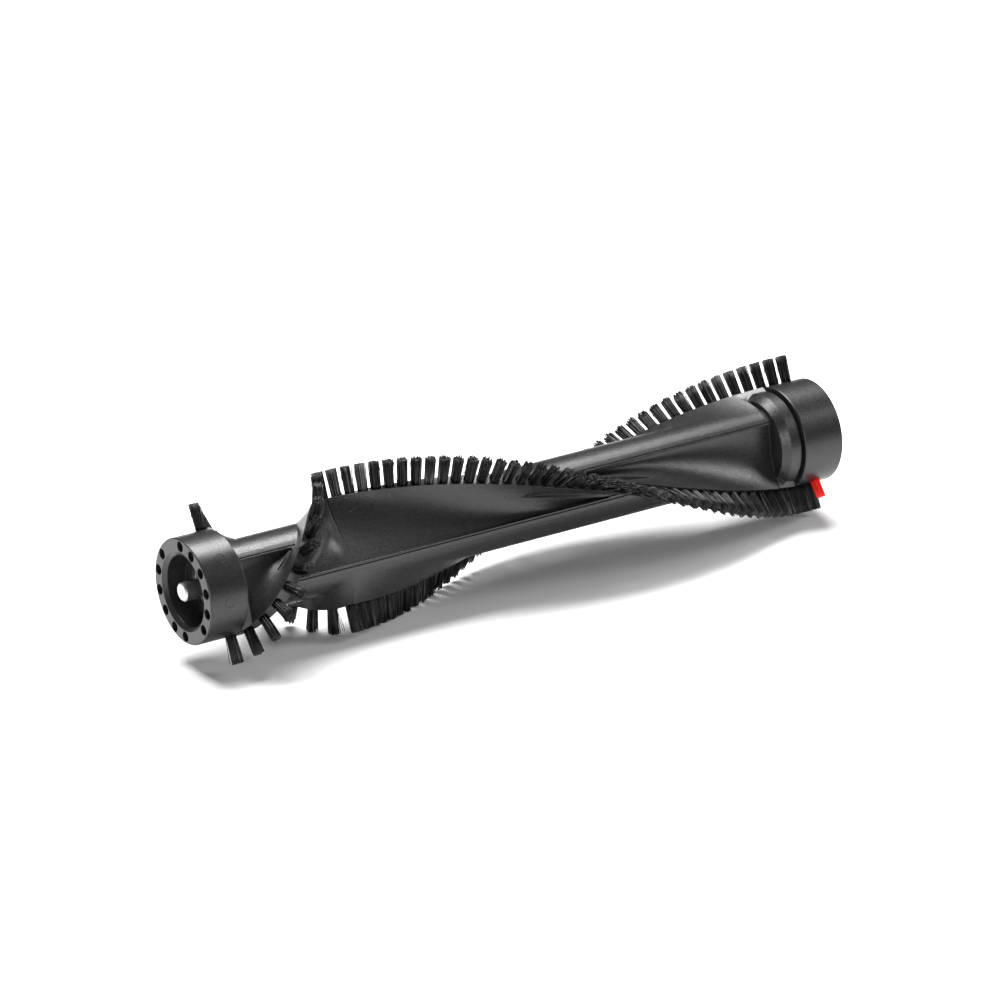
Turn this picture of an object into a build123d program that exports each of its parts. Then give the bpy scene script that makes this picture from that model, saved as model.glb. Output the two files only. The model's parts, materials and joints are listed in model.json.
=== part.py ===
"""Twisted roller brush of a floor cleaner, as an assembly of separate pieces.

Millimetres, +Z up. +X runs along the roller's axis from the bearing end to the drive end.
The origin is on the axis, in the plane of the bearing hub's open face.
Angles about the axis are in degrees, from -Y (0) towards +Z (90).
"""

import os
from math import acos, asin, atan2, cos, degrees, hypot, radians, sin, sqrt

from build123d import *

# Overall sizes
overall_length = 316.0
drum_diameter = 45.0
tip_diameter = 68.6
bar_diameter = 31.6

# End drums
bearing_drum_length = 17.6
drive_drum_length = 19.6
drum_edge_radius = 0.6
cup_diameter = 30.2
cup_depth = 10.3
cup_mouth_diameter = 33.8
cup_mouth_depth = 1.6
floor_lip_thickness = 1.0
floor_hole_diameter = 19.6
ring_hole_diameter = 4.5
ring_hole_circle = 39.0
ring_hole_places = 14
ring_hole_depth = 13.0

# Joint between the drums and the core
spigot_diameter = 25.2
spigot_length = 3.0
spigot_clearance = 0.05
spigot_end_clearance = 0.1

# Core moulding
core_bore_diameter = 8.0
pin_room_diameter = 14.0
pin_room_length = 0.9
collar_diameter = 33.4
collar_length = 3.4
shoulder_diameter = 41.8
shoulder_length = 8.4
shoulder_groove = 1.2
land_width = 5.9
land_gap = 0.25

# Tuft rows: each row climbs steeply to an apex, then falls back slowly
row_start_x = 15.5
row_apex_x = 73.7
row_end_gap = 7.8
row_start_angle = -60.0
row_apex_angle = 117.0
row_end_angle = -66.0
short_tufts = 11
long_tufts = 44

# Tufts
tuft_hole_diameter = 4.0
tuft_hole_depth = 6.0
tuft_hole_clearance = 0.05
tuft_tip_diameter = 5.0
wear_tuft_height = 8.0
wear_tuft_step = 17.6
wear_tuft_gap = 9.1
anchor_height = 1.6
anchor_thickness = 0.4
anchor_clearance = 0.05
anchor_lift = 0.8

# Recesses that the mould's two halves leave in the core
mould_angle = 26.6
window_half_angle = 24.0
ridge_overlap = 2.0
ridge_angle = 4.0
bead_gap_angle = 1.5
bead_angle = 7.5
rail_height = 0.6
groove_depth = 1.8
scoop_depth = 3.4
scoop_shape = 0.3
flank_share = 0.35
thinnest_scoop = 0.6
radial_flank_angle = 16.5
smooth_flank_angle = 61.5
apex_blend = 8.0
apex_overlap = 0.4
scoop_stations = 9
short_stations = 15
long_stations = 17

# Ball bearing, 8 x 22 x 7
bearing_bore = 8.0
bearing_outside = 22.0
bearing_width = 7.0
inner_race_diameter = 12.0
outer_race_bore = 18.0
ball_diameter = 3.968
ball_circle = 15.0
ball_count = 7
ball_clearance = 0.05
cage_bore = 13.6
cage_outside = 16.4
cage_width = 5.2
shield_thickness = 0.4
shield_seat_depth = 0.6
shield_seat_diameter = 18.8
shield_bore = 12.5

# Axle pin and retaining rings
pin_end_chamfer = 0.6
pin_shoulder_diameter = 11.0
pin_tail = 2.6
ring_thickness = 1.0
ring_groove_clearance = 0.1
pin_groove_depth = 0.25
pin_ring_outside = 11.6
pin_ring_ear = 0.9
hub_groove_depth = 0.6
hub_ring_bore = 19.2
hub_ring_ear = 1.0
ring_mouth_angle = 34.0
ring_eye_diameter = 0.9

# Drive socket
socket_outside = 22.0
socket_flange_diameter = 26.0
socket_flange_thickness = 2.0
socket_across_flats = 12.0
socket_hex_depth = 10.0
drive_cup_depth = 7.0
drive_web = 4.1
socket_clearance = 0.05

# Radii and stations that follow
drum_radius = drum_diameter / 2
tip_radius = tip_diameter / 2
bar_radius = bar_diameter / 2
land_radius = drum_radius
core_start = bearing_drum_length
core_end = overall_length - drive_drum_length
row_end_x = overall_length - row_end_gap
bearing_start = cup_depth + floor_lip_thickness
bearing_end = bearing_start + bearing_width
bearing_middle = (bearing_start + bearing_end) / 2
ring_start = bearing_end + ring_groove_clearance / 2
spigot_end = bearing_drum_length + spigot_length
pocket_start = core_start + collar_length
pocket_end = core_end - shoulder_groove - shoulder_length
rail_across = bar_radius * sin(radians(window_half_angle))
short_rate = (row_apex_angle - row_start_angle) / (row_apex_x - row_start_x)
long_rate = (row_end_angle - row_apex_angle) / (row_end_x - row_apex_x)
half_turn = 180.0


def cosd(angle):
    return cos(radians(angle))


def sind(angle):
    return sin(radians(angle))


def polar(radius, angle):
    """A point of a cross-section, in the section plane's own Y and Z."""
    return (-radius * cosd(angle), radius * sind(angle))


def turned(across, along, angle):
    """A point given along and across a radial direction at an angle."""
    return (
        -along * cosd(angle) + across * sind(angle),
        along * sind(angle) + across * cosd(angle),
    )


def short_angle(x):
    return row_start_angle + short_rate * (x - row_start_x)


def long_angle(x):
    return row_apex_angle + long_rate * (x - row_apex_x)


def ease(value, low, high):
    """A smooth step from 0 at low to 1 at high."""
    share = min(max((value - low) / (high - low), 0.0), 1.0)
    return share * share * (3 - 2 * share)


def spaced(start, end, count):
    step = (end - start) / (count - 1)
    return [start + step * index for index in range(count)]


# ---------------------------------------------------------------- core section


def land_half_width(rate):
    """Half the land's width across the axis, for a row that climbs at this rate."""
    slope = radians(abs(rate)) * land_radius
    return land_width / 2 * sqrt(1 + slope * slope)


def flank_foot(half_width, fin_turn):
    """Angle from the fin's middle to where its flanks meet the bar.

    fin_turn is the fin's angle from the mould's opening direction. Near that direction the flanks
    stand radially, and far from it they run tangent to the bar.
    """
    upright = degrees(asin(half_width / bar_radius))
    corner = hypot(land_radius, half_width)
    corner_angle = degrees(atan2(half_width, land_radius))
    tangent = corner_angle + degrees(acos(bar_radius / corner))
    share = ease(abs(fin_turn), radial_flank_angle, smooth_flank_angle)
    return upright + (tangent - upright) * share


def fin_outline(angle, half_width):
    """The closed outline of the bar with its two fins."""
    foot_angle = flank_foot(half_width, angle - mould_angle)
    for fin in (angle, angle + half_turn):
        low_corner = turned(-half_width, land_radius, fin)
        high_corner = turned(half_width, land_radius, fin)
        foot = polar(bar_radius, fin + foot_angle)
        next_foot = polar(bar_radius, fin + half_turn - foot_angle)
        middle = polar(bar_radius, fin + half_turn / 2)
        Line(low_corner, high_corner)
        Line(high_corner, foot)
        ThreePointArc(foot, middle, next_foot)
        Line(next_foot, turned(-half_width, land_radius, fin + half_turn))


def fin_section(x, angle, half_width):
    """One cross-section of the bar and its fins, in place along the roller."""
    with BuildSketch(Plane.YZ.offset(x)) as section:
        with BuildLine():
            fin_outline(angle, half_width)
        make_face()
    return section.sketch


def scoop_outline(angle, half_width, side, turn):
    """The closed outline of one recess, between a rail and the fin's land.

    side is -1 for the recess below the fin and +1 for the one above it.
    The groove's side runs along the mould's opening direction, so nothing is undercut.
    """
    groove_across = side * rail_across
    groove_along = bar_radius * cosd(window_half_angle) - groove_depth
    fin_turn = angle - mould_angle
    edge = side * (half_width - land_gap)
    corner_across = land_radius * sind(fin_turn) + edge * cosd(fin_turn)
    corner_along = land_radius * cosd(fin_turn) - edge * sind(fin_turn)
    rise = corner_across - groove_across
    reach = hypot(corner_along - groove_along, rise)
    sink = scoop_depth * min(reach / land_radius, 1.0)
    first = (groove_across + rise * scoop_shape, groove_along - sink)
    shank = reach * flank_share
    second = (corner_across - shank * sind(fin_turn), corner_along - shank * cosd(fin_turn))
    facing = mould_angle + turn
    groove = turned(groove_across, groove_along, facing)
    groove_far = turned(groove_across, tip_radius, facing)
    corner = turned(corner_across, corner_along, facing)
    corner_far = turned(
        corner_across + tip_radius * sind(fin_turn / 2),
        corner_along + tip_radius * cosd(fin_turn / 2),
        facing,
    )
    Polyline(groove, groove_far, corner_far, corner)
    Bezier(corner, turned(*second, facing), turned(*first, facing), groove)


def scoop_section(x, angle, half_width, side, turn):
    """One cross-section of a recess, in place along the roller."""
    with BuildSketch(Plane.YZ.offset(x)) as section:
        with BuildLine():
            scoop_outline(angle, half_width, side, turn)
        make_face()
    return section.sketch


def short_scoop(start, end, side, turn):
    stations = spaced(start, end, scoop_stations)
    return [scoop_section(x, short_angle(x), short_width(x), side, turn) for x in stations]


def long_scoop(start, end, side, turn):
    stations = spaced(start, end, scoop_stations)
    return [scoop_section(x, long_angle(x), long_width(x), side, turn) for x in stations]


def last_turn(half_width):
    """How far past the mould's direction the fin may turn before a recess closes."""
    return degrees(asin((rail_across - thinnest_scoop - half_width) / land_radius))


def short_station(angle):
    return row_start_x + (angle - row_start_angle) / short_rate


def long_station(angle):
    return row_apex_x + (angle - row_apex_angle) / long_rate


def short_width(x):
    share = ease(row_apex_x - x, 0.0, apex_blend)
    narrow = land_half_width(long_rate)
    return narrow + (land_half_width(short_rate) - narrow) * share


def long_width(x):
    return land_half_width(long_rate)


def rail_outline(angle, width):
    """The closed outline of a low rail on the bar, from this angle onwards, width degrees wide."""
    inner = bar_radius - rail_height
    outer = bar_radius + rail_height
    end = angle + width
    middle = angle + width / 2
    Line(polar(inner, angle), polar(outer, angle))
    ThreePointArc(polar(outer, angle), polar(outer, middle), polar(outer, end))
    Line(polar(outer, end), polar(inner, end))
    ThreePointArc(polar(inner, end), polar(inner, middle), polar(inner, angle))


# ---------------------------------------------------------------- tuft places


def radial_place(x, angle, radius):
    """A location on a radius of the roller, with its Z pointing outwards."""
    across, up = polar(1.0, angle)
    return Location(Plane(origin=(x, radius * across, radius * up), x_dir=(1, 0, 0), z_dir=(0, across, up)))


def short_places(turn, radius):
    step = (row_apex_x - row_start_x) / short_tufts
    stations = [row_start_x + step * index for index in range(short_tufts)]
    return [radial_place(x, short_angle(x) + turn, radius) for x in stations]


def long_places(turn, radius):
    stations = spaced(row_apex_x, row_end_x, long_tufts)
    return [radial_place(x, long_angle(x) + turn, radius) for x in stations]


def wear_place(radius):
    return radial_place(overall_length - wear_tuft_gap, row_end_angle + wear_tuft_step, radius)


def every_place(radius):
    rows = [wear_place(radius)]
    for turn in (0.0, half_turn):
        rows += short_places(turn, radius) + long_places(turn, radius)
    return rows


def ball_places(radius):
    step = 2 * half_turn / ball_count
    return [radial_place(bearing_middle, step * index, radius) for index in range(ball_count)]


def tuft_outline(tip_length, end_radius):
    """Half of a tuft's outline, from the foot of its hole to its tip."""
    root = tuft_hole_diameter / 2 - tuft_hole_clearance
    Polyline(
        (0, 0),
        (root, 0),
        (root, tuft_hole_depth),
        (end_radius, tuft_hole_depth + tip_length),
        (0, tuft_hole_depth + tip_length),
        close=True,
    )


def cut_anchor_slot():
    with Locations((0, 0, anchor_lift)):
        Box(
            tuft_hole_diameter - 4 * anchor_thickness,
            anchor_thickness,
            anchor_height,
            align=(Align.CENTER, Align.CENTER, Align.MIN),
            mode=Mode.SUBTRACT,
        )


def hub_ring_places():
    """Places on the drum's face, all but the two that face the tuft rows' first holes."""
    step = 2 * half_turn / ring_hole_places
    kept = [k for k in range(ring_hole_places) if k % (ring_hole_places // 2)]
    return [polar(ring_hole_circle / 2, row_start_angle + step * k) for k in kept]



# ---------------------------------------------------------------- core moulding

short_opening = short_station(mould_angle - last_turn(land_half_width(short_rate)))
short_closing = short_station(mould_angle + last_turn(land_half_width(short_rate)))
long_opening = long_station(mould_angle + last_turn(land_half_width(long_rate)))
long_closing = long_station(mould_angle - last_turn(land_half_width(long_rate)))
ridge_start = window_half_angle - ridge_overlap
bead_start = ridge_start + ridge_angle + bead_gap_angle
rails = [
    (ridge_start, ridge_angle),
    (bead_start, bead_angle),
    (-ridge_start - ridge_angle, ridge_angle),
    (-bead_start - bead_angle, bead_angle),
]
with BuildPart() as roller_core:
    short_spacing = spaced(core_start, row_apex_x, short_stations)
    loft([fin_section(x, short_angle(x), short_width(x)) for x in short_spacing])
    long_spacing = spaced(row_apex_x, core_end, long_stations)
    loft([fin_section(x, long_angle(x), long_width(x)) for x in long_spacing])
    with BuildSketch(Plane.YZ.offset(core_start)):
        for turn in (0.0, half_turn):
            for rail_start, rail_width in rails:
                with BuildLine():
                    rail_outline(mould_angle + rail_start + turn, rail_width)
                make_face()
    extrude(amount=core_end - core_start)
    for turn in (0.0, half_turn):
        loft(short_scoop(pocket_start, short_closing, 1, turn), mode=Mode.SUBTRACT)
        loft(short_scoop(short_opening, row_apex_x + apex_overlap, -1, turn), mode=Mode.SUBTRACT)
        loft(long_scoop(row_apex_x - apex_overlap, long_closing, -1, turn), mode=Mode.SUBTRACT)
        loft(long_scoop(long_opening, pocket_end, 1, turn), mode=Mode.SUBTRACT)
    with BuildSketch(Plane.YZ.offset(core_start)):
        Circle(collar_diameter / 2)
    extrude(amount=collar_length)
    with BuildSketch(Plane.YZ.offset(pocket_end)):
        Circle(shoulder_diameter / 2)
    extrude(amount=shoulder_length)
    with Locations(*every_place(land_radius - tuft_hole_depth)):
        Cylinder(
            tuft_hole_diameter / 2,
            tip_radius,
            align=(Align.CENTER, Align.CENTER, Align.MIN),
            mode=Mode.SUBTRACT,
        )
    with BuildSketch(Plane.YZ.offset(core_start)):
        Circle(core_bore_diameter / 2)
    extrude(amount=core_end - core_start, mode=Mode.SUBTRACT)
    socket_depth = spigot_length + spigot_end_clearance
    with BuildSketch(Plane.YZ.offset(core_start)):
        Circle(spigot_diameter / 2 + spigot_clearance)
    extrude(amount=socket_depth, mode=Mode.SUBTRACT)
    with BuildSketch(Plane.YZ.offset(core_start + socket_depth)):
        Circle(pin_room_diameter / 2)
    extrude(amount=pin_room_length, mode=Mode.SUBTRACT)
    with BuildSketch(Plane.YZ.offset(core_end)):
        Circle(spigot_diameter / 2 + spigot_clearance)
    extrude(amount=-socket_depth, mode=Mode.SUBTRACT)
roller_core.part.label = "roller_core"

# ---------------------------------------------------------------- end drums

with BuildPart() as bearing_hub:
    with BuildSketch(Plane.XZ):
        with BuildLine():
            Polyline(
                (0, cup_mouth_diameter / 2),
                (0, drum_radius),
                (bearing_drum_length, drum_radius),
                (bearing_drum_length, spigot_diameter / 2),
                (spigot_end, spigot_diameter / 2),
                (spigot_end, bearing_outside / 2),
                (bearing_start, bearing_outside / 2),
                (bearing_start, floor_hole_diameter / 2),
                (cup_depth, floor_hole_diameter / 2),
                (cup_depth, cup_diameter / 2),
                (cup_mouth_depth, cup_diameter / 2),
                close=True,
            )
        make_face()
    revolve(axis=Axis.X)
    rims = bearing_hub.edges().filter_by(GeomType.CIRCLE)
    fillet(rims.filter_by(lambda edge: abs(edge.radius - drum_radius) < land_gap), drum_edge_radius)
    with BuildSketch(Plane.YZ.offset(ring_start)):
        Circle(bearing_outside / 2 + hub_groove_depth)
    extrude(amount=ring_thickness + ring_groove_clearance, mode=Mode.SUBTRACT)
    with BuildSketch(Plane.YZ):
        with Locations(*hub_ring_places()):
            Circle(ring_hole_diameter / 2)
    extrude(amount=ring_hole_depth, mode=Mode.SUBTRACT)
    with Locations(*every_place(land_radius - tuft_hole_depth)):
        Cylinder(
            tuft_hole_diameter / 2,
            tip_radius,
            align=(Align.CENTER, Align.CENTER, Align.MIN),
            mode=Mode.SUBTRACT,
        )
bearing_hub.part.label = "bearing_hub"

drive_cup_floor = overall_length - drive_cup_depth
flange_seat = drive_cup_floor - socket_flange_thickness
socket_seat = core_end - spigot_length + drive_web
with BuildPart() as drive_hub:
    with BuildSketch(Plane.XZ):
        with BuildLine():
            Polyline(
                (core_end - spigot_length, core_bore_diameter / 2),
                (core_end - spigot_length, spigot_diameter / 2),
                (core_end, spigot_diameter / 2),
                (core_end, drum_radius),
                (overall_length, drum_radius),
                (overall_length, cup_mouth_diameter / 2),
                (overall_length - cup_mouth_depth, cup_diameter / 2),
                (drive_cup_floor, cup_diameter / 2),
                (drive_cup_floor, socket_flange_diameter / 2 + socket_clearance),
                (flange_seat, socket_flange_diameter / 2 + socket_clearance),
                (flange_seat, socket_outside / 2 + socket_clearance),
                (socket_seat, socket_outside / 2 + socket_clearance),
                (socket_seat, core_bore_diameter / 2),
                close=True,
            )
        make_face()
    revolve(axis=Axis.X)
    rims = drive_hub.edges().filter_by(GeomType.CIRCLE)
    fillet(rims.filter_by(lambda edge: abs(edge.radius - drum_radius) < land_gap), drum_edge_radius)
    with Locations(*every_place(land_radius - tuft_hole_depth)):
        Cylinder(
            tuft_hole_diameter / 2,
            tip_radius,
            align=(Align.CENTER, Align.CENTER, Align.MIN),
            mode=Mode.SUBTRACT,
        )
drive_hub.part.label = "drive_hub"

with BuildPart() as drive_socket:
    with BuildSketch(Plane.YZ.offset(socket_seat)):
        Circle(socket_outside / 2)
    extrude(amount=flange_seat - socket_seat)
    with BuildSketch(Plane.YZ.offset(flange_seat)):
        Circle(socket_flange_diameter / 2)
    extrude(amount=socket_flange_thickness)
    with BuildSketch(Plane.YZ.offset(drive_cup_floor)):
        RegularPolygon(socket_across_flats / 2, 6, major_radius=False)
    extrude(amount=-socket_hex_depth, mode=Mode.SUBTRACT)
drive_socket.part.label = "drive_socket"

# ---------------------------------------------------------------- axle pin and bearing

pin_radius = bearing_bore / 2
pin_end = ring_start + ring_groove_clearance + pin_tail
with BuildPart() as axle_pin:
    with BuildSketch(Plane.YZ.offset(-pin_end_chamfer)):
        Circle(pin_radius)
    extrude(amount=pin_end + pin_end_chamfer)
    chamfer(axle_pin.edges().filter_by(GeomType.CIRCLE), pin_end_chamfer)
    with BuildSketch(Plane.YZ.offset(cup_depth)):
        Circle(pin_shoulder_diameter / 2)
    extrude(amount=floor_lip_thickness)
    with BuildSketch(Plane.YZ.offset(ring_start)):
        Circle(pin_radius)
        Circle(pin_radius - pin_groove_depth, mode=Mode.SUBTRACT)
    extrude(amount=ring_thickness + ring_groove_clearance, mode=Mode.SUBTRACT)
axle_pin.part.label = "axle_pin"

race_groove = ball_diameter / 2 + ball_clearance
with BuildPart() as bearing_inner_race:
    with BuildSketch(Plane.YZ.offset(bearing_start)):
        Circle(inner_race_diameter / 2)
        Circle(bearing_bore / 2, mode=Mode.SUBTRACT)
    extrude(amount=bearing_width)
    with BuildSketch(Plane.XZ):
        with Locations((bearing_middle, ball_circle / 2)):
            Circle(race_groove)
    revolve(axis=Axis.X, mode=Mode.SUBTRACT)
bearing_inner_race.part.label = "bearing_inner_race"

with BuildPart() as bearing_outer_race:
    with BuildSketch(Plane.YZ.offset(bearing_start)):
        Circle(bearing_outside / 2)
        Circle(outer_race_bore / 2, mode=Mode.SUBTRACT)
    extrude(amount=bearing_width)
    with BuildSketch(Plane.XZ):
        with Locations((bearing_middle, ball_circle / 2)):
            Circle(race_groove)
    revolve(axis=Axis.X, mode=Mode.SUBTRACT)
    with BuildSketch(Plane.YZ.offset(bearing_start), Plane.YZ.offset(bearing_end - shield_seat_depth)):
        Circle(shield_seat_diameter / 2)
    extrude(amount=shield_seat_depth, mode=Mode.SUBTRACT)
bearing_outer_race.part.label = "bearing_outer_race"

with BuildPart() as bearing_balls:
    with Locations(*ball_places(ball_circle / 2)):
        Sphere(ball_diameter / 2)
bearing_balls.part.label = "bearing_balls"

with BuildPart() as bearing_cage:
    with BuildSketch(Plane.YZ.offset(bearing_middle)):
        Circle(cage_outside / 2)
        Circle(cage_bore / 2, mode=Mode.SUBTRACT)
    extrude(amount=cage_width / 2, both=True)
    with Locations(*ball_places(0.0)):
        Cylinder(
            race_groove,
            cage_outside,
            align=(Align.CENTER, Align.CENTER, Align.MIN),
            mode=Mode.SUBTRACT,
        )
bearing_cage.part.label = "bearing_cage"

outer_shield_start = bearing_start + shield_seat_depth - shield_thickness
inner_shield_start = bearing_end - shield_seat_depth
with BuildPart() as bearing_shield_outer:
    with BuildSketch(Plane.YZ.offset(outer_shield_start)):
        Circle(shield_seat_diameter / 2)
        Circle(shield_bore / 2, mode=Mode.SUBTRACT)
    extrude(amount=shield_thickness)
bearing_shield_outer.part.label = "bearing_shield_outer"

with BuildPart() as bearing_shield_inner:
    with BuildSketch(Plane.YZ.offset(inner_shield_start)):
        Circle(shield_seat_diameter / 2)
        Circle(shield_bore / 2, mode=Mode.SUBTRACT)
    extrude(amount=shield_thickness)
bearing_shield_inner.part.label = "bearing_shield_inner"

# ---------------------------------------------------------------- retaining rings

ring_plane = Plane.YZ.offset(ring_start + ring_groove_clearance / 2)
ear_angle = ring_mouth_angle / 2
pin_ear_circle = pin_ring_outside / 2
with BuildPart() as pin_retaining_ring:
    with BuildSketch(ring_plane):
        Circle(pin_ring_outside / 2)
        with Locations(polar(pin_ear_circle, ear_angle), polar(pin_ear_circle, -ear_angle)):
            Circle(pin_ring_ear)
        Circle(pin_radius - pin_groove_depth, mode=Mode.SUBTRACT)
        with BuildLine():
            Polyline(
                (0, 0),
                polar(bearing_bore, ear_angle / 3),
                polar(bearing_bore, -ear_angle / 3),
                close=True,
            )
        make_face(mode=Mode.SUBTRACT)
        with Locations(polar(pin_ear_circle, ear_angle), polar(pin_ear_circle, -ear_angle)):
            Circle(ring_eye_diameter / 2, mode=Mode.SUBTRACT)
    extrude(amount=ring_thickness)
pin_retaining_ring.part.label = "pin_retaining_ring"

hub_ear_circle = hub_ring_bore / 2
with BuildPart() as hub_retaining_ring:
    with BuildSketch(ring_plane):
        Circle(bearing_outside / 2 + hub_groove_depth)
        Circle(hub_ring_bore / 2, mode=Mode.SUBTRACT)
        with Locations(polar(hub_ear_circle, ear_angle), polar(hub_ear_circle, -ear_angle)):
            Circle(hub_ring_ear)
        with BuildLine():
            Polyline(
                (0, 0),
                polar(bearing_outside, ear_angle / 2),
                polar(bearing_outside, -ear_angle / 2),
                close=True,
            )
        make_face(mode=Mode.SUBTRACT)
        with Locations(polar(hub_ear_circle, ear_angle), polar(hub_ear_circle, -ear_angle)):
            Circle(ring_eye_diameter / 2, mode=Mode.SUBTRACT)
    extrude(amount=ring_thickness)
hub_retaining_ring.part.label = "hub_retaining_ring"

# ---------------------------------------------------------------- tufts and anchors

with BuildPart() as tuft:
    with BuildSketch(Plane.XZ):
        with BuildLine():
            tuft_outline(tip_radius - land_radius, tuft_tip_diameter / 2)
        make_face()
    revolve(axis=Axis.Z)
    cut_anchor_slot()

with BuildPart() as wear_bundle:
    with BuildSketch(Plane.XZ):
        with BuildLine():
            tuft_outline(wear_tuft_height, tuft_hole_diameter / 2)
        make_face()
    revolve(axis=Axis.Z)
    cut_anchor_slot()

with BuildPart() as anchor:
    with Locations((0, 0, anchor_lift + anchor_clearance)):
        Box(
            tuft_hole_diameter - 4 * anchor_thickness - 2 * anchor_clearance,
            anchor_thickness - 2 * anchor_clearance,
            anchor_height - 2 * anchor_clearance,
            align=(Align.CENTER, Align.CENTER, Align.MIN),
        )

hole_foot = land_radius - tuft_hole_depth
with BuildPart() as row_1_short_tufts:
    with Locations(*short_places(0.0, hole_foot)):
        add(tuft.part)
row_1_short_tufts.part.label = "row_1_short_tufts"

with BuildPart() as row_1_long_tufts:
    with Locations(*long_places(0.0, hole_foot)):
        add(tuft.part)
row_1_long_tufts.part.label = "row_1_long_tufts"

with BuildPart() as row_2_short_tufts:
    with Locations(*short_places(half_turn, hole_foot)):
        add(tuft.part)
row_2_short_tufts.part.label = "row_2_short_tufts"

with BuildPart() as row_2_long_tufts:
    with Locations(*long_places(half_turn, hole_foot)):
        add(tuft.part)
row_2_long_tufts.part.label = "row_2_long_tufts"

with BuildPart() as wear_tuft:
    with Locations(wear_place(hole_foot)):
        add(wear_bundle.part)
wear_tuft.part.label = "wear_tuft"

with BuildPart() as row_1_anchors:
    with Locations(*short_places(0.0, hole_foot), *long_places(0.0, hole_foot)):
        add(anchor.part)
row_1_anchors.part.label = "row_1_anchors"

with BuildPart() as row_2_anchors:
    with Locations(*short_places(half_turn, hole_foot), *long_places(half_turn, hole_foot)):
        add(anchor.part)
row_2_anchors.part.label = "row_2_anchors"

with BuildPart() as wear_anchor:
    with Locations(wear_place(hole_foot)):
        add(anchor.part)
wear_anchor.part.label = "wear_anchor"

# ---------------------------------------------------------------- files

os.makedirs("parts", exist_ok=True)
export_step(axle_pin.part, "parts/axle_pin.step")
export_step(pin_retaining_ring.part, "parts/pin_retaining_ring.step")
export_step(bearing_inner_race.part, "parts/bearing_inner_race.step")
export_step(bearing_balls.part, "parts/bearing_balls.step")
export_step(bearing_cage.part, "parts/bearing_cage.step")
export_step(bearing_outer_race.part, "parts/bearing_outer_race.step")
export_step(bearing_shield_outer.part, "parts/bearing_shield_outer.step")
export_step(bearing_shield_inner.part, "parts/bearing_shield_inner.step")
export_step(hub_retaining_ring.part, "parts/hub_retaining_ring.step")
export_step(bearing_hub.part, "parts/bearing_hub.step")
export_step(roller_core.part, "parts/roller_core.step")
export_step(drive_hub.part, "parts/drive_hub.step")
export_step(drive_socket.part, "parts/drive_socket.step")
export_step(row_1_short_tufts.part, "parts/row_1_short_tufts.step")
export_step(row_1_long_tufts.part, "parts/row_1_long_tufts.step")
export_step(row_2_short_tufts.part, "parts/row_2_short_tufts.step")
export_step(row_2_long_tufts.part, "parts/row_2_long_tufts.step")
export_step(wear_tuft.part, "parts/wear_tuft.step")
export_step(row_1_anchors.part, "parts/row_1_anchors.step")
export_step(row_2_anchors.part, "parts/row_2_anchors.step")
export_step(wear_anchor.part, "parts/wear_anchor.step")
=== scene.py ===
"""Twisted roller brush of a floor cleaner: its finishes, its bristles and a studio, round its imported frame.

Metres, +Z up. +X runs along the roller's axis from the bearing end to the drive end, and the axis is
the line y = 0, z = 0. Beside the CAD nodes this makes the filaments that replace the CAD tufts, six
witness marks of the mould, and a copy of the core whose drive shoulder has a ramp.
"""

import json
import random
from math import cos, hypot, pi, radians, sin, sqrt

import bmesh
import bpy
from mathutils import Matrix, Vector


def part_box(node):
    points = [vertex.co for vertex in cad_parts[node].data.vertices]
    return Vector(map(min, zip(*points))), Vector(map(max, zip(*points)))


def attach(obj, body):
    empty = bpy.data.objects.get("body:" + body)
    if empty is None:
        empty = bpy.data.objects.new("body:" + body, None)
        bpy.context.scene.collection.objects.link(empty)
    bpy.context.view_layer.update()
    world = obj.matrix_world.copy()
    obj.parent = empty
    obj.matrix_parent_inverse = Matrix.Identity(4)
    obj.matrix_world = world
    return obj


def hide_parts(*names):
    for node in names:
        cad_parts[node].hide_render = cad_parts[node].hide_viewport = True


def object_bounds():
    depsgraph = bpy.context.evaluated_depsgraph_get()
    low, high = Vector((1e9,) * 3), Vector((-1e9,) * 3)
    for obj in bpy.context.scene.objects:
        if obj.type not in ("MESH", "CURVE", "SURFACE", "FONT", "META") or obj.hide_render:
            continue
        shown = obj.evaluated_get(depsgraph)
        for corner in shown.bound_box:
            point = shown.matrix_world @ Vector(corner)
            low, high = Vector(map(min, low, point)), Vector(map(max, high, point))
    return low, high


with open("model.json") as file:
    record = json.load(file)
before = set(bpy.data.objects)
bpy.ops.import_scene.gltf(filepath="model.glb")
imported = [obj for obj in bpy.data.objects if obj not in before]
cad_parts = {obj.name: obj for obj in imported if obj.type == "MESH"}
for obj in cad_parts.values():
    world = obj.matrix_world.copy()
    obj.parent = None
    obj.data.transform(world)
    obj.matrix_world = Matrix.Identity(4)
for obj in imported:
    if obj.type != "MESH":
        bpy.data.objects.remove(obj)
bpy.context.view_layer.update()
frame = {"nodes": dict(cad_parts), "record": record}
nodes = frame["nodes"]
mm = 0.001

# ---------------------------------------------------------------- camera

view_azimuth = radians(-33.35)
view_elevation = radians(23.1)
view_distance = 2.5906
view_target = Vector((0.1562, 0.0028, 0.0030))
lens_length = 222.36
sensor_width = 36.0
farthest_seen = 100.0

look = Vector(
    (
        -sin(view_azimuth) * cos(view_elevation),
        cos(view_azimuth) * cos(view_elevation),
        -sin(view_elevation),
    )
)
camera_data = bpy.data.cameras.new("camera")
camera_data.lens = lens_length
camera_data.sensor_width = sensor_width
camera_data.clip_end = farthest_seen
camera = bpy.data.objects.new("camera", camera_data)
camera.rotation_euler = look.to_track_quat("-Z", "Y").to_euler()
camera.location = view_target - look * view_distance
bpy.context.scene.collection.objects.link(camera)
bpy.context.scene.camera = camera


# ---------------------------------------------------------------- materials

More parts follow.
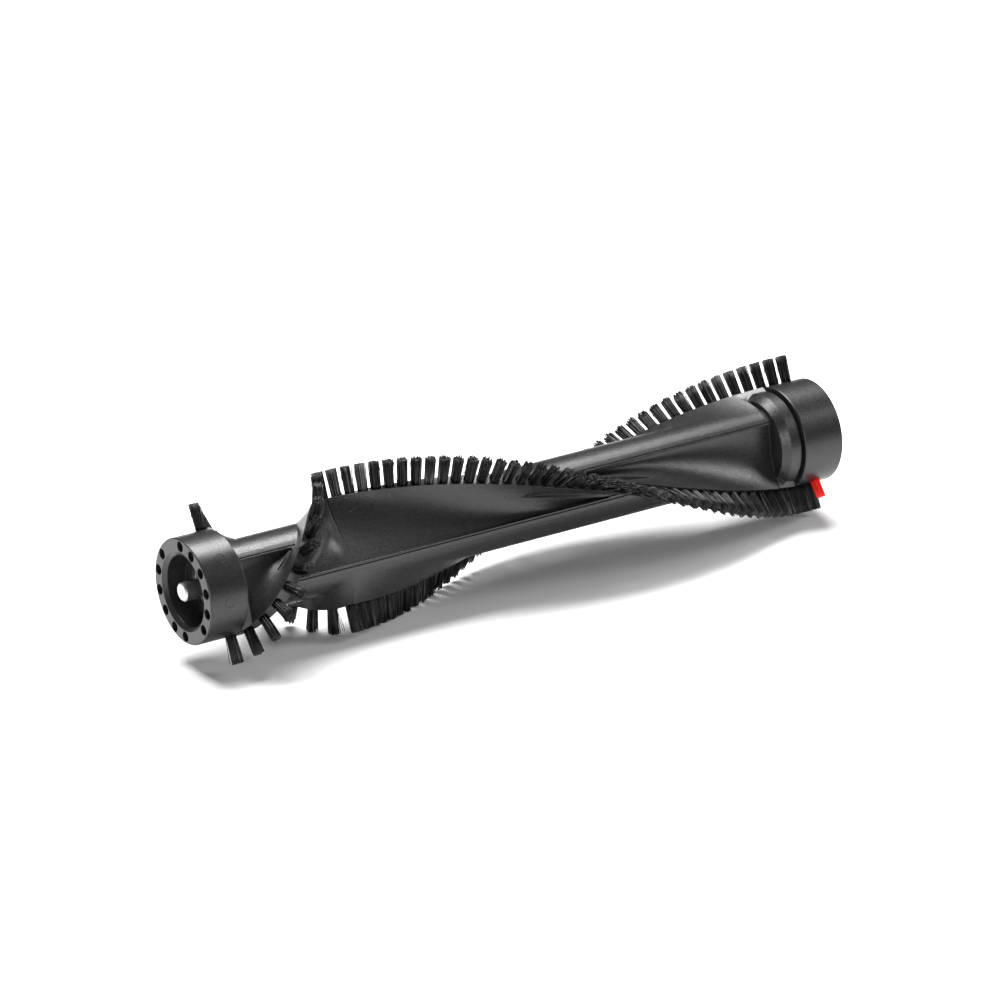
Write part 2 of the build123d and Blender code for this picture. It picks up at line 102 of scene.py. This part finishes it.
# Noise scales count features a metre. A stretch under 1 draws them out along its axis, over 1 packs them.
flow_scale = 45.0
flow_stretch = (0.35, 1.0, 1.0)
wave_scale = 320.0
wave_depth = 0.05 * mm
skin_scale = 1300.0
skin_depth = 0.06 * mm
plastic_index = 1.5

tool_line_scale = 900.0
tool_line_depth = 0.01 * mm
tool_line_strength = 0.15

nylon_index = 1.53
nylon_sheen = 0.3
# Bristle colour: strands, and patches of them, go from the dark colour to a lighter one, a painted highlight
# of lit strands with some random tone between strands.
lit_patch_scale = 55.0
lit_tone_start = 0.42
lit_tone_end = 0.66
streak_scale = 3000.0
streak_stretch = (1.0, 0.25, 0.25)
streak_depth = 0.02 * mm
streak_strength = 0.3

soft_edge = 0.4 * mm
fine_edge = 0.15 * mm
edge_samples = 4

even = (1.0, 1.0, 1.0)
turned = (3.0, 0.3, 0.3)
ground = (3.0, 0.4, 0.4)
pressed = (3.0, 0.6, 0.6)


def grey(tone):
    """A neutral colour."""
    return (tone, tone, tone)


def new_material(name):
    """A material with a principled shader, and its node tree and shader."""
    made = bpy.data.materials.new(name)
    made.use_nodes = True
    tree = made.node_tree
    return made, tree, tree.nodes["Principled BSDF"]


def noise(tree, scale, detail=2.0, stretch=even):
    """A noise texture in the piece's own coordinates, finer as scale grows."""
    place = tree.nodes.new("ShaderNodeTexCoord")
    mapping = tree.nodes.new("ShaderNodeMapping")
    mapping.inputs["Scale"].default_value = stretch
    texture = tree.nodes.new("ShaderNodeTexNoise")
    texture.inputs["Scale"].default_value = scale
    texture.inputs["Detail"].default_value = detail
    tree.links.new(place.outputs["Object"], mapping.inputs["Vector"])
    tree.links.new(mapping.outputs["Vector"], texture.inputs["Vector"])
    return texture.outputs["Fac"]


def ramp(tree, source, low, high, start=0.3, end=0.7):
    """Colours from low to high as the source goes from start to end."""
    node = tree.nodes.new("ShaderNodeValToRGB")
    node.color_ramp.elements[0].position = start
    node.color_ramp.elements[0].color = (*low, 1.0)
    node.color_ramp.elements[1].position = end
    node.color_ramp.elements[1].color = (*high, 1.0)
    tree.links.new(source, node.inputs["Fac"])
    return node.outputs["Color"]


def spread(tree, source, low, high, start=0.25, end=0.75):
    """A number from low to high as the source goes from start to end."""
    node = tree.nodes.new("ShaderNodeMapRange")
    node.inputs["From Min"].default_value = start
    node.inputs["From Max"].default_value = end
    node.inputs["To Min"].default_value = low
    node.inputs["To Max"].default_value = high
    tree.links.new(source, node.inputs["Value"])
    return node.outputs["Result"]


def bump(tree, source, depth, strength, under=None):
    """A bumped normal, depth metres deep, on top of another one."""
    node = tree.nodes.new("ShaderNodeBump")
    node.inputs["Strength"].default_value = strength
    node.inputs["Distance"].default_value = depth
    tree.links.new(source, node.inputs["Height"])
    if under is not None:
        tree.links.new(under, node.inputs["Normal"])
    return node.outputs["Normal"]


def rounded(tree, radius):
    """A normal that rounds sharp edges over this radius, as moulded edges are."""
    node = tree.nodes.new("ShaderNodeBevel")
    node.samples = edge_samples
    node.inputs["Radius"].default_value = radius
    return node.outputs["Normal"]


def moulded(name, low, high, smooth, rough, grain, edge):
    """Moulded plastic: flow mottling in its colour, a grain in its gloss and skin, and soft edges."""
    made, tree, shader = new_material(name)
    shader.inputs["IOR"].default_value = plastic_index
    flow = noise(tree, flow_scale, detail=3.0, stretch=flow_stretch)
    waves = noise(tree, wave_scale)
    skin = noise(tree, skin_scale, detail=3.0)
    tree.links.new(ramp(tree, flow, low, high), shader.inputs["Base Color"])
    tree.links.new(spread(tree, skin, smooth, rough), shader.inputs["Roughness"])
    normal = bump(tree, waves, wave_depth, grain, rounded(tree, edge))
    normal = bump(tree, skin, skin_depth, grain, normal)
    tree.links.new(normal, shader.inputs["Normal"])
    return made


def metal(name, low, high, smooth, rough, lines):
    """Metal: tool marks drawn out as lines says, in its colour, its gloss and its skin."""
    made, tree, shader = new_material(name)
    shader.inputs["Metallic"].default_value = 1.0
    cut = noise(tree, tool_line_scale, stretch=lines)
    tree.links.new(ramp(tree, cut, low, high), shader.inputs["Base Color"])
    tree.links.new(spread(tree, cut, smooth, rough), shader.inputs["Roughness"])
    tree.links.new(bump(tree, cut, tool_line_depth, tool_line_strength), shader.inputs["Normal"])
    return made


def bristle(name, dark, light, smooth, rough):
    """Nylon filament: each strand has its own gloss, and its colour runs from dark to a lighter grey by
    strand and by patch, a painted highlight of lit strands with some random tone, with streaks drawn along
    its length.
    """
    made, tree, shader = new_material(name)
    shader.inputs["IOR"].default_value = nylon_index
    shader.inputs["Specular IOR Level"].default_value = nylon_sheen
    strand = tree.nodes.new("ShaderNodeNewGeometry").outputs["Random Per Island"]
    lit_patches = noise(tree, lit_patch_scale, detail=1.0)
    # Strand times patch sets how far each strand is lightened: painted highlight of lit strands, partly
    # random tone.
    tone = tree.nodes.new("ShaderNodeMath")
    tone.operation = "MULTIPLY"
    tree.links.new(strand, tone.inputs[0])
    tree.links.new(lit_patches, tone.inputs[1])
    colour = ramp(tree, tone.outputs["Value"], dark, light, lit_tone_start, lit_tone_end)
    tree.links.new(colour, shader.inputs["Base Color"])
    tree.links.new(spread(tree, strand, smooth, rough), shader.inputs["Roughness"])
    streaks = noise(tree, streak_scale, stretch=streak_stretch)
    tree.links.new(bump(tree, streaks, streak_depth, streak_strength), shader.inputs["Normal"])
    return made


finishes = {
    "black_plastic": moulded(
        "black_plastic", grey(0.006), grey(0.012), smooth=0.25, rough=0.42, grain=0.7, edge=soft_edge
    ),
    "socket_plastic": moulded(
        "socket_plastic",
        (0.03, 0.03, 0.032),
        (0.055, 0.055, 0.058),
        smooth=0.4,
        rough=0.6,
        grain=0.6,
        edge=fine_edge,
    ),
    "cage_plastic": moulded(
        "cage_plastic",
        (0.60, 0.53, 0.37),
        (0.74, 0.67, 0.50),
        smooth=0.35,
        rough=0.50,
        grain=0.3,
        edge=fine_edge,
    ),
    "bright_steel": metal(
        "bright_steel", (0.42, 0.42, 0.43), (0.56, 0.56, 0.57), smooth=0.30, rough=0.42, lines=turned
    ),
    "bearing_steel": metal(
        "bearing_steel", (0.58, 0.58, 0.60), (0.76, 0.76, 0.78), smooth=0.08, rough=0.18, lines=ground
    ),
    "shield_steel": metal(
        "shield_steel", (0.30, 0.30, 0.31), (0.46, 0.46, 0.47), smooth=0.28, rough=0.42, lines=pressed
    ),
    "spring_steel": metal(
        "spring_steel", (0.09, 0.09, 0.10), (0.20, 0.20, 0.21), smooth=0.34, rough=0.50, lines=even
    ),
    "anchor_wire": metal(
        "anchor_wire", (0.42, 0.42, 0.40), (0.60, 0.60, 0.58), smooth=0.35, rough=0.50, lines=even
    ),
    # The second colour of each filament is a painted highlight of lit strands, reached by some strands and
    # patches.
    "black_filament": bristle("black_filament", grey(0.003), grey(0.12), smooth=0.34, rough=0.55),
    "red_filament": bristle("red_filament", (0.90, 0.02, 0.012), (1.0, 0.06, 0.04), smooth=0.35, rough=0.50),
}
for subpart in frame["record"]["subparts"]:
    cad_mesh = nodes[subpart["node"]].data
    cad_mesh.materials.clear()
    cad_mesh.materials.append(finishes[subpart["material_slot"]])


# ---------------------------------------------------------------- pieces


def made_mesh(name, shape):
    """A mesh of the shape, which is freed."""
    mesh = bpy.data.meshes.new(name)
    shape.to_mesh(mesh)
    shape.free()
    return mesh


def made_piece(name, mesh, finish):
    """An object in the scene that shows the mesh in one finish."""
    mesh.materials.append(finishes[finish])
    piece = bpy.data.objects.new(name, mesh)
    bpy.context.scene.collection.objects.link(piece)
    return piece


# ---------------------------------------------------------------- bristles

weld = 0.005 * mm
surface_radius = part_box("drive_hub")[1].z

strand_sides = 5
strand_rings = 4
strand_radius = 0.22 * mm
root_bury = 2.2 * mm
root_spread = 0.25 * mm
tip_fan = (0.85, 1.05)
turn_jitter = 0.25
bend_share = 0.6
cut_slant = 0.5
golden_angle = pi * (3 - sqrt(5))

stray_share = 0.85
stray_chance = 0.07
stray_reach = (1.15, 1.75)
stray_drop = 2.5 * mm
stray_thinness = 0.62

tuft_rows = ["row_1_short_tufts", "row_1_long_tufts", "row_2_short_tufts", "row_2_long_tufts"]
row_strands = 64
row_splay = 0.16 * mm
row_ragged = 0.35 * mm
wear_strands = 56
wear_splay = 0.08 * mm
wear_ragged = 0.12 * mm


def solids(mesh):
    """The separate solids of a mesh, as lists of their points, from the bearing end to the drive end."""
    shape = bmesh.new()
    shape.from_mesh(mesh)
    bmesh.ops.remove_doubles(shape, verts=shape.verts, dist=weld)
    left = set(shape.verts)
    found = []
    while left:
        reached = [left.pop()]
        points = []
        while reached:
            vertex = reached.pop()
            points.append(vertex.co.copy())
            for edge in vertex.link_edges:
                other = edge.other_vert(vertex)
                if other in left:
                    left.remove(other)
                    reached.append(other)
        found.append(points)
    shape.free()
    return sorted(found, key=lambda points: sum(p.x for p in points) / len(points))


def tuft_facts(points):
    """A CAD tuft's place on the axis, its way out, its heights there, and its radius at root and tip."""
    middle = sum(points, Vector()) / len(points)
    out = Vector((0.0, middle.y, middle.z)).normalized()
    station = Vector((middle.x, 0.0, 0.0))
    heights = [p.dot(out) for p in points]
    low, high = min(heights), max(heights)
    half = (low + high) / 2
    root_radius = max((p - station - out * p.dot(out)).length for p in points if p.dot(out) < half)
    tip_radius = max((p - station - out * p.dot(out)).length for p in points if p.dot(out) > half)
    return station, out, low, high, root_radius, tip_radius


def add_strand(shape, start, end, bend, radius, slant):
    """One filament: a thin bent rod from start to end + bend, cut off at a slant."""
    line = end - start
    ahead = line.normalized()
    side = ahead.orthogonal().normalized()
    other = ahead.cross(side)
    rings = []
    for level in range(strand_rings):
        share = level / (strand_rings - 1)
        centre = start + line * share + bend * share * share
        ring = []
        for turn in range(strand_sides):
            angle = 2 * pi * turn / strand_sides
            offset = (side * cos(angle) + other * sin(angle)) * radius
            if level == strand_rings - 1:
                offset = offset + ahead * offset.dot(side) * slant
            ring.append(shape.verts.new(centre + offset))
        rings.append(ring)
    for below, above in zip(rings, rings[1:]):
        for turn in range(strand_sides):
            after = (turn + 1) % strand_sides
            shape.faces.new((below[turn], below[after], above[after], above[turn]))
    shape.faces.new(rings[-1])
    shape.faces.new(reversed(rings[0]))


def add_tuft(shape, chance, points, strands, splay, ragged):
    """A bundle of filaments along a CAD tuft: close at the root, fanned at the tip, with a few strays."""
    station, out, low, high, root_radius, tip_radius = tuft_facts(points)
    across = Vector((1.0, 0.0, 0.0))
    around = out.cross(across)
    foot = max(low, surface_radius - root_bury)
    lean = (across * chance.gauss(0, 1) + around * chance.gauss(0, 1)) * splay
    for index in range(strands):
        share = sqrt((index + 0.5) / strands)
        angle = index * golden_angle + chance.uniform(-turn_jitter, turn_jitter)
        way = across * cos(angle) + around * sin(angle)
        root = station + out * foot + way * share * (root_radius + root_spread - strand_radius)
        reach = share * tip_radius * chance.uniform(*tip_fan)
        stray = share > stray_share and chance.random() < stray_chance
        if stray:
            reach = tip_radius * chance.uniform(*stray_reach)
        top = sqrt(high * high - reach * reach) - abs(chance.gauss(0, 1)) * ragged - strand_radius
        if stray:
            top -= stray_drop * chance.random()
        tip = station + out * top + way * reach
        own_bend = (across * chance.gauss(0, 1) + around * chance.gauss(0, 1)) * splay * bend_share
        bend = lean * bend_share + own_bend
        radius = strand_radius * (stray_thinness if stray else 1.0)
        add_strand(shape, root, tip - bend, bend, radius, chance.uniform(-cut_slant, cut_slant))


def bristle_piece(name, node, slot, strands, splay, ragged, seed):
    """A row's filaments, one bundle for each CAD tuft of the node."""
    chance = random.Random(seed)
    shape = bmesh.new()
    for points in solids(nodes[node].data):
        add_tuft(shape, chance, points, strands, splay, ragged)
    mesh = made_mesh(name, shape)
    for face in mesh.polygons:
        face.use_smooth = len(face.vertices) == 4
    piece = made_piece(name, mesh, slot)
    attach(piece, "roller")
    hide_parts(node)


for seed, node in enumerate(tuft_rows):
    row_name = node.replace("tufts", "bristles")
    bristle_piece(row_name, node, "black_filament", row_strands, row_splay, row_ragged, seed)
wear_seed = len(tuft_rows)
bristle_piece(
    "wear_bristles", "wear_tuft", "red_filament", wear_strands, wear_splay, wear_ragged, wear_seed
)


# ---------------------------------------------------------------- witness marks of the mould

mark_points = 48
mark_sides = 6
mark_line = 0.11 * mm
mark_lift = 3.0 * mm

# Angles go round the axis from the camera's side, upwards. The mould's halves repeat half a turn on.
half_turn = pi
whole_turn = 2 * pi
pocket_station = 81.5 * mm
pocket_angle = radians(100.8)
pocket_radius = 3.0 * mm
drum_station = 8.9 * mm
drum_angle = radians(3.2)
drum_high_station = 9.6 * mm
drum_high_angle = radians(51.5)
drum_radius = 2.0 * mm
flank_station = 81.0 * mm
flank_angle = radians(-50.6)
flank_radius = 2.6 * mm


def surface_point(node, start, ahead):
    """The place and normal where a line from start meets a CAD node's skin, or None."""
    hit, place, normal, _ = nodes[node].ray_cast(start, ahead)
    return (place, normal) if hit else None


def mark_route(node, station, angle, radius, sweep):
    """The places and normals along a circle, or an arc of one, laid on a CAD node's skin."""
    out = Vector((0.0, -cos(angle), sin(angle)))
    centre, facing = surface_point(node, Vector((station, 0.0, 0.0)) + out * (2 * surface_radius), -out)
    across = facing.orthogonal().normalized()
    other = facing.cross(across)
    steps = mark_points if sweep >= whole_turn else mark_points - 1
    route = []
    for index in range(mark_points):
        turn = sweep * index / steps
        start = centre + (across * cos(turn) + other * sin(turn)) * radius + facing * mark_lift
        met = surface_point(node, start, -facing)
        if met:
            route.append(met)
    return route


def witness_mark(name, node, station, angle, radius, sweep=whole_turn):
    """A fine raised ring, or an arc of one, that an ejector pin left on a moulded piece."""
    route = mark_route(node, station, angle, radius, sweep)
    closed = sweep >= whole_turn
    last = len(route) - 1
    shape = bmesh.new()
    rings = []
    for index, (place, normal) in enumerate(route):
        before = index - 1 if closed else max(index - 1, 0)
        after = (index + 1) % len(route) if closed else min(index + 1, last)
        ahead = (route[after][0] - route[before][0]).normalized()
        side = ahead.cross(normal).normalized()
        ring = []
        for corner in range(mark_sides):
            around = 2 * pi * corner / mark_sides
            ring.append(shape.verts.new(place + (side * cos(around) + normal * sin(around)) * mark_line))
        rings.append(ring)
    pairs = list(zip(rings, rings[1:]))
    if closed:
        pairs.append((rings[-1], rings[0]))
    else:
        shape.faces.new(reversed(rings[0]))
        shape.faces.new(rings[-1])
    for ring, next_ring in pairs:
        for corner in range(mark_sides):
            after = (corner + 1) % mark_sides
            shape.faces.new((ring[corner], ring[after], next_ring[after], next_ring[corner]))
    bmesh.ops.recalc_face_normals(shape, faces=shape.faces)
    mesh = made_mesh(name, shape)
    for face in mesh.polygons:
        face.use_smooth = True
    piece = made_piece(name, mesh, "black_plastic")
    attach(piece, "roller")


witness_mark("mark_pocket", "roller_core", pocket_station, pocket_angle, pocket_radius)
witness_mark("mark_pocket_back", "roller_core", pocket_station, pocket_angle + half_turn, pocket_radius)
witness_mark("mark_drum", "bearing_hub", drum_station, drum_angle, drum_radius)
witness_mark("mark_drum_high", "bearing_hub", drum_high_station, drum_high_angle, drum_radius)
witness_mark("mark_drum_back", "bearing_hub", drum_station, drum_angle + half_turn, drum_radius)
witness_mark("mark_flank", "roller_core", flank_station, flank_angle, flank_radius, half_turn)


# ---------------------------------------------------------------- core moulding

shoulder_start = 286.8 * mm
shoulder_radius = 20.9 * mm
ramp_length = 3.4 * mm
ramp_rise = 2.6 * mm
ramp_end = shoulder_start + ramp_length
near_skin = 0.06 * mm
same_face = 0.85
same_cone = 0.99
along = Vector((1.0, 0.0, 0.0))


def grid_place(place):
    """A place rounded to the weld distance, so that equal places compare equal."""
    return tuple(round(value / weld) for value in place)


def corner_normals(mesh):
    """The shading normals of a mesh's corners, listed by the place that they share."""
    found = {}
    for face in mesh.polygons:
        for loop in face.loop_indices:
            place = mesh.vertices[mesh.loops[loop].vertex_index].co
            found.setdefault(grid_place(place), []).append(mesh.corner_normals[loop].vector.copy())
    return found


def on_shoulder(place):
    """Whether a place is on the drive shoulder's rim, anywhere from its front end on."""
    off_skin = abs(hypot(place.y, place.z) - shoulder_radius)
    return off_skin < near_skin and place.x > shoulder_start - weld


def ramped_shape(mesh):
    """The core's shape, cut round the shoulder where the ramp ends, and drawn in ahead of that cut."""
    shape = bmesh.new()
    shape.from_mesh(mesh)
    faces = [face for face in shape.faces if any(on_shoulder(vertex.co) for vertex in face.verts)]
    edges = {edge for face in faces for edge in face.edges}
    corners = {vertex for face in faces for vertex in face.verts}
    bmesh.ops.bisect_plane(
        shape,
        geom=list(corners) + list(edges) + faces,
        dist=weld,
        plane_co=along * ramp_end,
        plane_no=along,
    )
    for vertex in shape.verts:
        if on_shoulder(vertex.co) and vertex.co.x < ramp_end - weld:
            share = max((vertex.co.x - shoulder_start) / ramp_length, 0.0)
            drawn = 1.0 - ramp_rise * (1.0 - share) / hypot(vertex.co.y, vertex.co.z)
            vertex.co.y *= drawn
            vertex.co.z *= drawn
    return shape


def ramped_normals(mesh, shading):
    """The shading normals of the ramped core: a cone's on the ramp, and the CAD core's elsewhere."""
    normals = []
    for face in mesh.polygons:
        for loop in face.loop_indices:
            place = mesh.vertices[mesh.loops[loop].vertex_index].co
            out = Vector((0.0, place.y, place.z)).normalized()
            cone = (out * ramp_length - along * ramp_rise).normalized()
            choices = shading.get(grid_place(place), [face.normal])
            best = max(choices, key=lambda normal: normal.dot(face.normal))
            on_ramp = shoulder_start - weld < place.x < ramp_end + weld
            if on_ramp and cone.dot(face.normal) > same_cone:
                best = cone
            normals.append(best if best.dot(face.normal) > same_face else face.normal)
    return normals


def ramped_core(name, node):
    """The core, with its drive shoulder's front rim drawn down into a ramp from the recesses."""
    source = nodes[node].data
    mesh = made_mesh(name, ramped_shape(source))
    for face in mesh.polygons:
        face.use_smooth = True
    mesh.normals_split_custom_set(ramped_normals(mesh, corner_normals(source)))
    piece = made_piece(name, mesh, "black_plastic")
    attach(piece, "roller")
    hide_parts(node)


ramped_core("core_moulding", "roller_core")


# ---------------------------------------------------------------- studio

floor_size = 12.0
floor_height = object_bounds()[0].z
paper_scale = 40.0
paper_roughness = 0.9
paper_sheen = 0.2
sky_strength = 0.12
brush_middle = (0.158, 0.0, 0.0)

bpy.ops.mesh.primitive_plane_add(size=floor_size, location=(0, 0, floor_height))
floor = bpy.context.object
floor.name = "floor"
floor_finish, floor_tree, floor_shader = new_material("floor_paper")
paper = ramp(floor_tree, noise(floor_tree, paper_scale), grey(0.86), grey(0.88))
floor_tree.links.new(paper, floor_shader.inputs["Base Color"])
floor_shader.inputs["Roughness"].default_value = paper_roughness
floor_shader.inputs["Specular IOR Level"].default_value = paper_sheen
floor.data.materials.append(floor_finish)


def softbox(name, place, size, power):
    """A rectangular soft light at place, facing the brush. Its power is in watts."""
    data = bpy.data.lights.new(name, "AREA")
    data.shape = "RECTANGLE"
    data.size, data.size_y = size
    data.energy = power
    light = bpy.data.objects.new(name, data)
    light.location = place
    light.rotation_euler = (Vector(brush_middle) - Vector(place)).to_track_quat("-Z", "Y").to_euler()
    bpy.context.scene.collection.objects.link(light)


softbox("key", place=(0.25, 0.55, 1.5), size=(1.6, 0.9), power=80.0)
softbox("front", place=(-0.7, -2.2, 0.45), size=(1.6, 0.35), power=14.0)
softbox("left", place=(-1.2, -1.3, 0.7), size=(0.45, 0.45), power=7.0)
softbox("right", place=(1.5, -0.6, 0.8), size=(0.4, 0.7), power=9.0)

world = bpy.data.worlds.new("studio")
world.use_nodes = True
sky = world.node_tree.nodes["Background"]
sky.inputs["Color"].default_value = (*grey(1.0), 1.0)
sky.inputs["Strength"].default_value = sky_strength
bpy.context.scene.world = world
bpy.context.scene.view_settings.view_transform = "Standard"
